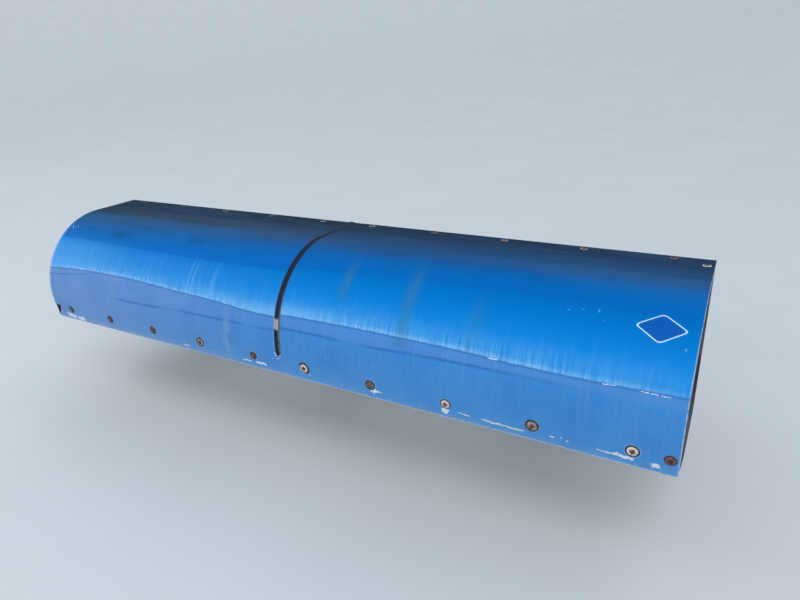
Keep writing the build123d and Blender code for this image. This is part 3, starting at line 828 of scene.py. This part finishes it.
def skin_height(x, run):
    """How far the sheet stands off its true shape: slight waves, pulled in at screws."""
    wave = WAVE_HEIGHT * (0.5 + 0.5 * wander(2.3 * x, 4.1 * run, 3.7))
    nearest_x = min(abs(x - place) for place in SCREW_PLACES)
    nearest_run = min(abs(run - LOWER_RUN), abs(run - UPPER_RUN))
    pull = exp(-(hypot(nearest_x, nearest_run) / DIMPLE_REACH) ** 2)
    return wave * (1 - pull) - DIMPLE_DEPTH * pull


def on_skin(x, run, lift=0):
    """Point above the waved sheet."""
    return on_cover(x, run, skin_height(x, run) + lift)


def skin_ring(outline, lift, share=1):
    """An outline of (x, run) above the waved sheet, shrunk to a share of its size."""
    middle = Vector([sum(values) / len(outline) for values in zip(*outline)])
    return [on_skin(*middle.lerp(Vector(point), share), lift) for point in outline]


# Torn corner: (height above the hem, distance in from the end)
TEAR = ((0, 0.004), (0.036, 0.02), (0.069, 0.026), (0.077, 0))
TEAR_ROWS = [index * 0.0015 for index in range(56)]
TEAR_COLUMNS = [rear_low.x + index * 0.003 for index in range(20)]
TEAR_BLEND = 0.075
TEAR_CURL = 0.006
FULL_CURL_INSET = 0.02
FRAY = 0.0012
HOLE_RADIUS = 0.0045


def tear_inset(run):
    """How much of the rear panel's end is missing at this run."""
    inset = 0
    for (low, near_inset), (high, far_inset) in zip(TEAR, TEAR[1:]):
        if low <= run <= high:
            share = (run - low) / (high - low)
            inset = near_inset + share * (far_inset - near_inset)
            inset += FRAY * wander(220 * run, 0.3, 0.9)
            off_hole = abs(run - LOWER_RUN)
            if off_hole < HOLE_RADIUS:
                inset += sqrt(HOLE_RADIUS ** 2 - off_hole ** 2)
    return max(0, inset)


def cover_panel(name, node, low, high, side, torn):
    columns = stations(low.x, high.x, COLUMN_STEP, screw_places(side))
    rows = stations(0, COVER_RUN, ROW_STEP, (LOWER_RUN, UPPER_RUN))
    if torn:
        rows = sorted({*rows, *TEAR_ROWS})
        columns = sorted({*columns, *TEAR_COLUMNS})
    outer, inner = [], []
    for run in rows:
        inset = tear_inset(run) if torn else 0
        curl = TEAR_CURL * min(1, inset / FULL_CURL_INSET)
        spots = []
        for x in columns:
            share = max(0, 1 - (x - low.x) / TEAR_BLEND)
            place = x + inset * share
            spots.append((place, skin_height(place, run) - curl * share ** 3))
        outer.append([on_cover(place, run, height) for place, height in spots])
        inner.append([on_cover(place, run, height - SHEET) for place, height in spots])
    skin = Shape()
    skin.plate(outer, inner)
    skin.make(name, "blue_paint", [node], [BLUE_PAINT, INSIDE_PAINT], crease=50)


# Strip over the seam, laid on slightly out of line low down
STRIP_BOW = 0.005
STRIP_BOW_RUN = 0.19
STRIP_BOW_REACH = 0.09
STRIP_WAVER = 0.0004
STRIP_LIP = (strip_high.x - strip_low.x) / 2
POINT_LENGTH = 0.012
POINT_WIDTH = 0.04
# Half of its section from the middle outwards: distance from the middle, height
STRIP_SECTION = (
    (0, 0.0022), (0.0018, 0.0024), (0.0026, 0.0034), (0.004, 0.0046), (0.0062, 0.005),
    (0.0088, 0.0048), (0.0108, 0.004), (0.0122, 0.0026), (0.0126, 0.0014),
    (STRIP_LIP, 0.0011), (STRIP_LIP, 0.0003),
)


def seam_strip():
    section = [(-across, height) for across, height in reversed(STRIP_SECTION)]
    section.extend(STRIP_SECTION[1:])
    tip_run = strip_low.z - HEM_Z
    rings = []
    for run in stations(tip_run, COVER_RUN, STRIP_STEP):
        taper = min(1, POINT_WIDTH + (run - tip_run) / POINT_LENGTH)
        middle = STRIP_X + STRIP_BOW * exp(-((run - STRIP_BOW_RUN) / STRIP_BOW_REACH) ** 2)
        middle += STRIP_WAVER * wander(9 * run, 1.1, 0.2)
        rings.append([on_cover(middle + across * taper, run, height) for across, height in section])
    strip = Shape()
    strip.loft(rings)
    strip.make("seam_strip_moulding", "black_trim", ["seam_strip"], crease=40)


# Cover screws
SEAL, WHITE, PINK, GREY, RUST, DARK, HALO = range(7)
SCREW_FINISHES = (
    plain_rubber("screw_seal", (38, 42, 50)),
    screw_finish("washer_white", (226, 222, 218), (150, 120, 100), 0.25, 0.5),
    screw_finish("washer_faded", (176, 158, 160), (110, 84, 76), 0.45, 0.6),
    screw_finish("washer_grey", (104, 110, 120), (72, 66, 64), 0.5, 0.5),
    screw_finish("screw_rust", (150, 92, 76), (92, 52, 44), 0.45, 0.85),
    screw_finish("screw_dark", (56, 50, 48), (92, 62, 48), 0.5, 0.6),
    screw_finish("washed_ring", (138, 176, 220), (92, 144, 206), 0.5, 0.5),
)
# Lower row from the rear end: washer, head, size of the seal, width of the paint washed pale
# round it; the first screw is gone with the torn corner
LOWER_ROW = (
    None, (DARK, GREY, 1, 0.002), (DARK, GREY, 1.05, 0.003), (DARK, RUST, 1.05, 0.003),
    (PINK, DARK, 1.25, 0.003), (DARK, RUST, 1, 0.004), (WHITE, DARK, 1.35, 0.003),
    (GREY, RUST, 1.15, 0.003), (WHITE, RUST, 1.05, 0.002), (PINK, RUST, 1.25, 0.002),
    (WHITE, RUST, 1.15, 0.004), (RUST, DARK, 0.95, 0),
)
UPPER_ROW = (GREY, GREY, GREY, PINK, GREY, PINK, PINK, GREY, PINK, PINK, GREY, WHITE)
UPPER_SIZE = 0.78
# Outlines: radius, height above the sheet
SEAL_OUTLINE = ((0.0205, -0.0006), (0.0208, 0.0014), (0.0196, 0.002), (0.015, 0.0022))
WASHER_OUTLINE = ((0.0168, 0.0006), (0.0172, 0.0018), (0.0162, 0.0028), (0.01, 0.0037))
SOCKET_LOBES = 0.16


def lobed(radius):
    """Radius of the socket in a screw's head, waved six times round."""
    return lambda angle: radius * (1 + SOCKET_LOBES * cos(6 * angle))


HEAD_OUTLINE = (
    (0.0088, 0.002), (0.009, 0.005), (0.008, 0.0066), (0.006, 0.0076), (0.004, 0.008),
    (lobed(0.0036), 0.0078), (lobed(0.0032), 0.005),
)


def scaled(outline, size):
    return [(size * radius, height) for radius, height in outline]


def add_screw(shape, x, run, chance, washer, head, size, halo):
    square = Vector((0, *profile(run)[1]))
    lean = Vector([chance.uniform(-most, most) for most in (0.05, 0.04, 0.04)])
    axis = square + lean
    centre = on_skin(x, run)
    turn = chance.uniform(0, pi)
    if halo:
        reach = size * SEAL_OUTLINE[0][0] + halo
        shape.turned(centre, square, ((reach, -0.0006), (reach, 0.0009)), sides=32, finish=HALO)
    shape.turned(centre, axis, scaled(SEAL_OUTLINE, size), finish=SEAL)
    shape.turned(centre, axis, scaled(WASHER_OUTLINE, 0.5 + 0.5 * size), finish=washer)
    shape.turned(centre, axis, HEAD_OUTLINE, finish=head, turn=turn)


def cover_screws():
    chance = random.Random(41)
    lower, upper = Shape(), Shape()
    for x, kinds in zip(SCREW_PLACES, LOWER_ROW):
        if kinds:
            add_screw(lower, x, LOWER_RUN, chance, *kinds)
    for x, washer in zip(SCREW_PLACES, UPPER_ROW):
        run = END_RUN if x in (SCREW_PLACES[0], SCREW_PLACES[-1]) else UPPER_RUN
        add_screw(upper, x, run, chance, washer, DARK, UPPER_SIZE, 0)
    lower.make("cover_screws_lower", "zinc_steel", finishes=SCREW_FINISHES)
    upper.make("cover_screws_upper", "zinc_steel", finishes=SCREW_FINISHES)


# Screws' nuts behind the sheet: outline of the collar and of the screw's tip
COLLAR_OUTLINE = ((0.0078, 0), (0.0078, 0.001), (0.0064, 0.0018), (0.0064, 0.01), (0.0056, 0.0112))
TIP_OUTLINE = ((0.003, 0.01), (0.003, 0.0155), (0.0022, 0.0168))
# Rail's inner face below the cover's face at each row
RAIL_DEPTHS = ((LOWER_RUN, 0.0063), (UPPER_RUN, 0.0073))


def rivet_nuts():
    """The nuts in the two rails, with the tips of the cover screws in them."""
    nuts = Shape()
    for x in screw_places(-1)[1:] + screw_places(1)[1:]:
        for run, depth in RAIL_DEPTHS:
            inward = Vector((0, *-profile(run)[1]))
            centre = on_cover(x, run, -depth)
            nuts.turned(centre, inward, COLLAR_OUTLINE, sides=20)
            nuts.turned(centre, inward, TIP_OUTLINE, sides=12)
    nuts.make("rivet_nuts", "zinc_steel")


# Straps' bolts: their pin lies round the tank, and heights are along the rod from the pin
BOLT_ANGLE = radians(62)
PIN_ORBIT = TANK_RADIUS + 0.0194
PIN_OUTLINE = ((0.009, -0.035), (0.01, -0.034), (0.01, 0.034), (0.009, 0.035))
ROD_RADIUS = 0.008
ROD_START = 0.006
ROD_END = 0.152
ROD_SIDES = 20
THREAD_PITCH = 0.002
THREAD_DEPTH = 0.0009
BOLT_WASHER = ((0.0142, 0.124), (0.015, 0.1246), (0.015, 0.1264), (0.0142, 0.127))
NUT_OUTLINE = ((0.0139, 0.127), (0.0139, 0.14))


def thread(height):
    """Radius of the rod, whose thread rises with the angle."""
    def radius(angle):
        phase = (height / THREAD_PITCH - angle / (2 * pi)) % 1
        return ROD_RADIUS - THREAD_DEPTH * abs(2 * phase - 1)
    return radius


def strap_bolt(node):
    low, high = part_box(node)
    centre = round_tank((low.x + high.x) / 2, PIN_ORBIT, BOLT_ANGLE)
    axis = Vector((0, sin(BOLT_ANGLE), -cos(BOLT_ANGLE)))
    rows = 4 * round((ROD_END - ROD_START) / THREAD_PITCH)
    heights = [ROD_START + (ROD_END - ROD_START) * row / rows for row in range(rows + 1)]
    bolt = Shape()
    bolt.turned(centre, (1, 0, 0), PIN_OUTLINE)
    bolt.turned(centre, axis, [(thread(height), height) for height in heights], ROD_SIDES)
    bolt.turned(centre, axis, BOLT_WASHER)
    bolt.turned(centre, axis, NUT_OUTLINE, sides=6)
    bolt.make(node + "_threaded", "zinc_steel", [node])


# Weld beads on the hangers: up the back plate, and round the saddle
LEG_LOW_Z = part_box("hanger_mid")[0].z
LEG_WELD_START = LEG_LOW_Z + 0.004
LEG_WELD_LENGTH = 0.094 - LEG_LOW_Z
PLATE_FACE_Y = -0.012
WEB_OUT = 0.07
SADDLE_WELD = TANK_RADIUS + 0.0206
SADDLE_LOW = radians(-104)
SADDLE_TURN = radians(148)
BEAD_RADIUS = 0.0034
BEAD_PITCH = 0.0045
BEAD_SIDES = 8


def bead_steps(length):
    """Shares of a bead's length at its steps, three to a ripple."""
    steps = round(3 * length / BEAD_PITCH)
    return [step / steps for step in range(steps + 1)]


def add_bead(shape, points, seed):
    """A rippled weld bead along a path."""
    side = (points[1] - points[0]).orthogonal()
    rings = []
    for step, point in enumerate(points):
        before, *_, after = points[max(step - 1, 0):step + 2]
        heading = (after - before).normalized()
        side = (side - heading * side.dot(heading)).normalized()
        ripple = 0.9 + 0.12 * cos(2 * pi * step / 3)
        radius = BEAD_RADIUS * (ripple + 0.1 * wander(0.31 * step, seed, 0))
        rings.append([point + radius * around(angle, side, heading.cross(side))
                      for angle in circle(BEAD_SIDES)])
    shape.loft(rings)


def hanger_welds(node):
    low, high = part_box(node)
    welds = Shape()
    for side in (-1, 1):
        x = (low.x + high.x) / 2 + side * WEB_OUT
        leg = [Vector((x, PLATE_FACE_Y, LEG_WELD_START + share * LEG_WELD_LENGTH))
               for share in bead_steps(LEG_WELD_LENGTH)]
        saddle = [round_tank(x, SADDLE_WELD, SADDLE_LOW + share * SADDLE_TURN)
                  for share in bead_steps(SADDLE_WELD * SADDLE_TURN)]
        add_bead(welds, leg, side)
        add_bead(welds, saddle, 3 * side)
    welds.make(node + "_welds", "black_paint")


# Rubber edging round the openings of the end panels: a grooved section, as distance outwards
# from the opening's edge and inwards from the panel's face
EDGING_SECTION = (
    (-0.0034, -0.0018), (-0.0034, 0.0048), (-0.0012, 0.0066), (0.007, 0.0062), (0.0076, 0.005),
    (0.0076, 0.0034), (0.0004, 0.0032), (0.0004, -0.0002), (0.0076, -0.0004), (0.0076, -0.0014),
    (0.0068, -0.002), (-0.0016, -0.002),
)
EDGING_SIDES = 72
OPENINGS = (("end_panel_rear", -1, 0.06), ("end_panel_front", 1, 0.085))


def opening_edging(node, side, radius):
    low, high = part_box(node)
    centre = (high.x if side > 0 else low.x, TANK_Y, TANK_Z)
    outline = [(radius + out, depth) for out, depth in EDGING_SECTION + EDGING_SECTION[:1]]
    edging = Shape()
    edging.turned(centre, (-side, 0, 0), outline, EDGING_SIDES, caps=False)
    edging.make(node + "_edging", "liner_rubber")


# Lever of the tank's valve: a waisted blade on a stem, with a screw
STEM_OUTLINE = ((0.008, 0), (0.008, 0.012))
BLADE_START = 0.012
BLADE_RINGS = ((0, 0.0012), (0.0012, 0), (0.0108, 0), (0.012, 0.0012))
BLADE_HALF_WIDTH = 0.008
BLADE_WAIST = 0.74
BLADE_SIDES = 64
LEVER_SCREW = ((0.0062, 0.0198), (0.0062, 0.0238), (0.0048, 0.024))


def valve_lever():
    low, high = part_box("valve_handle")
    start = Vector((low.x, (low.y + high.y) / 2, (low.z + high.z) / 2))
    half_span = (high.y - low.y) / 2
    lever = Shape()
    lever.turned(start, (1, 0, 0), STEM_OUTLINE)
    rings = []
    for height, shrink in BLADE_RINGS:
        ring = []
        for angle in circle(BLADE_SIDES):
            along, across = cos(angle), sin(angle)
            half_width = BLADE_HALF_WIDTH * (BLADE_WAIST + (1 - BLADE_WAIST) * along ** 2) - shrink
            reach = copysign(abs(across) ** 0.55, across) * half_width
            ring.append(start + Vector((BLADE_START + height, (half_span - shrink) * along, reach)))
        rings.append(ring)
    lever.loft(rings)
    lever.turned(start, (1, 0, 0), LEVER_SCREW, sides=6)
    lever.make("valve_lever", "red_handle", ["valve_handle"])


# Blank diamond sign: centre, half width and height, width of its line, share of each side
# that a corner's curve takes, steps along a corner and along the straight part of a side
SIGN_CENTRE = Vector((1.503, SKIRT + COVER_RADIUS * radians(56.8)))
SIGN_HALF_WIDTH = 0.082
SIGN_HALF_HEIGHT = 0.0545
SIGN_LINE = 0.004
SIGN_CORNER = 0.15
CORNER_STEPS = 5
SIDE_STEPS = 14
FIELD_RINGS = 12
# Heights above the sheet: underside, field, line
SIGN_UNDER = 0.0001
SIGN_FIELD = 0.0004
SIGN_TOP = 0.0006


def diamond_outline():
    """Points (x, run) round a diamond whose corners are rounded."""
    across, up = Vector((SIGN_HALF_WIDTH, 0)), Vector((0, SIGN_HALF_HEIGHT))
    corners = [SIGN_CENTRE + reach for reach in (across, up, -across, -up)]
    points = []
    for index, corner in enumerate(corners):
        after = corners[(index + 1) % 4]
        start = corner.lerp(corners[index - 1], SIGN_CORNER)
        end = corner.lerp(after, SIGN_CORNER)
        for step in range(CORNER_STEPS + 1):
            share = step / CORNER_STEPS
            points.append(start.lerp(corner, share).lerp(corner.lerp(end, share), share))
        leave = after.lerp(corner, SIGN_CORNER)
        points.extend(end.lerp(leave, step / SIDE_STEPS) for step in range(1, SIDE_STEPS))
    return points


def diamond_sign():
    outline = diamond_outline()
    side = hypot(SIGN_HALF_WIDTH, SIGN_HALF_HEIGHT)
    inside = 1 - SIGN_LINE * side / (SIGN_HALF_WIDTH * SIGN_HALF_HEIGHT)
    line = [(SIGN_UNDER, 1), (SIGN_TOP, 1), (SIGN_TOP, inside), (SIGN_UNDER, inside)]
    shares = [inside * (1 - step / FIELD_RINGS) for step in range(FIELD_RINGS)]
    field = [(SIGN_UNDER, share) for share in reversed(shares)]
    field += [(SIGN_FIELD, share) for share in shares]
    sign = Shape()
    sign.loft([skin_ring(outline, *ring) for ring in line + line[:1]], caps=False)
    sign.loft([skin_ring(outline, *ring) for ring in field], finish=1)
    finishes = [sign_finish("sign_line_white", (196, 236, 252), (150, 206, 240)),
                sign_finish("sign_field_blue", (0, 94, 184), (0, 104, 192))]
    sign.make("diamond_sign_blank", "blue_paint", finishes=finishes)


# Scrapes where kerbs took the paint off, in mm: x, run, x, run, width; and how full they are
SCRAPES = (
    (-1530, 26, -1450, 18, 20, 1.3), (-1440, 19, -1378, 18, 20, 1.6), (-1300, 12, -1190, 10, 3, 0.5),
    (-980, 10, -860, 12, 3, 0.4), (-606, 23, -557, 23, 6, 0.9), (-215, 26, -160, 25, 8, 0.8),
    (-136, 29, -70, 28, 11, 1.3), (500, 38, 531, 36, 4, 0.9), (858, 36, 911, 31, 4.5, 0.8),
    (950, 32, 1116, 28, 9, 0.75), (1180, 18, 1290, 14, 3, 0.4), (1363, 31, 1420, 31, 7, 0.85),
    (1412, 31, 1484, 29, 12, 1.1), (966, 281, 1004, 281, 4, 0.9), (1358, 274, 1402, 277, 4, 0.8),
    (1475, 275, 1568, 275, 4, 0.7), (-60, 10, 60, 8, 3, 0.4), (-1592, 556, -1570, 534, 6, 0.6),
    (-1577, 562, -1552, 538, 5, 0.5), (-1556, 566, -1536, 548, 4, 0.5), (-11, 110, -6, 86, 4, 1),
    (-4, 79, 14, 79, 5, 1), (20, 110, 17, 86, 4, 1),
)
# Single chips, in mm: x, run, length, height
CHIPS = (
    (169, 32, 14, 6), (1549, 25, 36, 22), (492, 37, 46, 28), (806, 30, 38, 34), (1213, 35, 22, 8),
    (1245, 40, 10, 5), (1266, 33, 12, 5), (-1581, 34, 16, 8), (700, 25, 8, 3), (-30, 70, 8, 4),
    (330, 22, 10, 3),
)
FAINT_CHIPS = (
    (1207, 503, 15, 5), (1252, 512, 14, 5), (1305, 516, 6, 15), (1327, 481, 6, 10),
    (1582, 426, 8, 12), (48, 105, 6, 10), (93, 139, 6, 8), (360, 150, 6, 12), (-356, 150, 8, 14),
    (-278, 160, 12, 22), (-1430, 290, 60, 6), (-1136, 285, 50, 6), (-837, 358, 9, 26),
    (-851, 330, 7, 22), (-1200, 322, 70, 4),
)
# Rings of a flake: height above the sheet, share of its outline
FLAKE_RINGS = ((-0.0002, 1), (0.00025, 1), (0.00025, 0.5))
CHIP_SIDES = 12
SCRAPE_STEP = 0.0016
LEAST_HALF = 0.0004


def add_flake(shape, outline, finish=0):
    """A thin flake with an outline of (x, run)."""
    shape.loft([skin_ring(outline, *ring) for ring in FLAKE_RINGS], finish)


def add_scrape(shape, x_from, run_from, x_to, run_to, width, cover, seed):
    """A broken line of flakes whose width wanders."""
    along = Vector((x_to - x_from, run_to - run_from))
    steps = max(4, round(along.length / SCRAPE_STEP))
    side = Vector((-along.y, along.x)).normalized()
    upper, lower = [], []
    for step in range(steps + 1):
        share = step / steps
        travel = share * along.length
        centre = Vector((x_from, run_from)) + share * along
        centre += side * width * 0.5 * wander(90 * travel, seed, 0)
        swell = min(1, wander(170 * travel, seed, 5) + 2 * cover - 0.8)
        half = 0.5 * width * swell * sqrt(max(0, 1 - (2 * share - 1) ** 6))
        if half > LEAST_HALF:
            fray = 0.35 * half * wander(700 * travel, seed, 9)
            upper.append(centre + side * (half + fray))
            lower.append(centre - side * (half - fray))
        if half <= LEAST_HALF or step == steps:
            if len(upper) > 1:
                add_flake(shape, upper + lower[::-1])
            upper, lower = [], []


def paint_chips():
    chance = random.Random(17)
    chips = Shape()
    for index, (*sizes, cover) in enumerate(SCRAPES):
        add_scrape(chips, *(size / 1000 for size in sizes), cover, 1.7 * index)
    for finish, places in enumerate((CHIPS, FAINT_CHIPS)):
        for place in places:
            x, run, length, height = (size / 1000 for size in place)
            outline = []
            for angle in circle(CHIP_SIDES):
                edge = chance.uniform(0.55, 1) / 2
                outline.append((x + edge * length * cos(angle), run + edge * height * sin(angle)))
            add_flake(chips, outline, finish)
    finishes = [screw_finish("bare_chip", (222, 230, 238), (178, 200, 222), 0.3, 0.4),
                screw_finish("faint_chip", (112, 172, 226), (58, 132, 208), 0.5, 0.4)]
    chips.make("paint_chips", "bare_aluminium", finishes=finishes)


# Floor under the truck, below the mounts, that turns up far away: distance out, height
GROUND_Z = -0.81
FLOOR_OUTLINE = (
    (0, 0), (2, 0), (6, 0), (12, 0), (20, 0), (26, 0.3), (32, 1.5), (38, 4), (43, 8), (47, 14),
    (50, 22), (52, 31),
)


def stage_floor():
    pale = Finish("studio_floor_pale")
    shade = pale.mix(pale.noise(1.5, 4), (220, 222, 224), (228, 230, 232))
    floor = Shape()
    floor.turned((0, 0, GROUND_Z), (0, 0, 1), FLOOR_OUTLINE, sides=96, caps=False)
    piece = floor.link("studio_floor", [pale.set(shade, 0.85, None, 0.2)])
    piece.data.flip_normals()


# Long soft boxes and wide soft suns: name, kind, place, target, power, colour, and a box's
# width and height or a sun's spread in degrees
LIGHTS = (
    ("long_strip", "AREA", (-4, -5.4, 3.4), (-4, -0.4, 0), 110, (0.92, 0.96, 1), (22, 1.6)),
    ("long_top", "AREA", (-2, -3.6, 6.4), (-2, -0.4, 0), 120, (0.92, 0.96, 1), (18, 3)),
    ("key", "SUN", (4, -7, 7), (0, 0, 0), 0.75, (1, 0.98, 0.95), 60),
    ("back", "SUN", (3, 7, 5), (0, 0, 0), 0.55, (1, 0.98, 0.96), 70),
)
SKY = (0.74, 0.86, 1, 1)
SKY_STRENGTH = 0.62


def add_light(name, kind, place, target, power, colour, spread):
    lamp = bpy.data.lights.new(name, kind)
    lamp.energy = power
    lamp.color = colour
    if kind == "AREA":
        lamp.shape = "RECTANGLE"
        lamp.size, lamp.size_y = spread
    else:
        lamp.angle = radians(spread)
    light = new_object(name, lamp)
    light.location = place
    light.rotation_mode = "QUATERNION"
    light.rotation_quaternion = (Vector(target) - Vector(place)).to_track_quat("-Z", "Y")


def studio_lights():
    for row in LIGHTS:
        add_light(*row)
    world = bpy.data.worlds.new("studio_world")
    world.use_nodes = True
    background = world.node_tree.nodes["Background"]
    background.inputs["Color"].default_value = SKY
    background.inputs["Strength"].default_value = SKY_STRENGTH
    bpy.context.scene.world = world
    bpy.context.scene.view_settings.view_transform = "Standard"


# Camera: place, right and up directions, lens
CAMERA_PLACE = (1.6615, -2.417, 1.1045)
CAMERA_RIGHT = (0.8701, 0.4847, -0.0893)
CAMERA_UP = (-0.1474, 0.4288, 0.8913)
LENS_MM = 27
SENSOR_MM = 36
VIEW_END = 200


def photo_camera():
    right = Vector(CAMERA_RIGHT).normalized()
    back = right.cross(Vector(CAMERA_UP)).normalized()
    turn = Matrix((right, back.cross(right), back)).transposed().to_4x4()
    lens = bpy.data.cameras.new("photo_camera")
    lens.lens = LENS_MM
    lens.sensor_width = SENSOR_MM
    lens.clip_end = VIEW_END
    camera = new_object("photo_camera", lens)
    camera.matrix_world = Matrix.Translation(CAMERA_PLACE) @ turn
    bpy.context.scene.camera = camera


photo_camera()
studio_lights()
stage_floor()
dress_nodes()
cover_panel("cover_skin_rear", "cover_panel_rear", rear_low, rear_high, -1, True)
cover_panel("cover_skin_front", "cover_panel_front", front_low, front_high, 1, False)
seam_strip()
cover_screws()
rivet_nuts()
for place in ("rear", "mid", "front"):
    strap_bolt("strap_bolt_" + place)
    hanger_welds("hanger_" + place)
for node, side, radius in OPENINGS:
    opening_edging(node, side, radius)
valve_lever()
diamond_sign()
paint_chips()
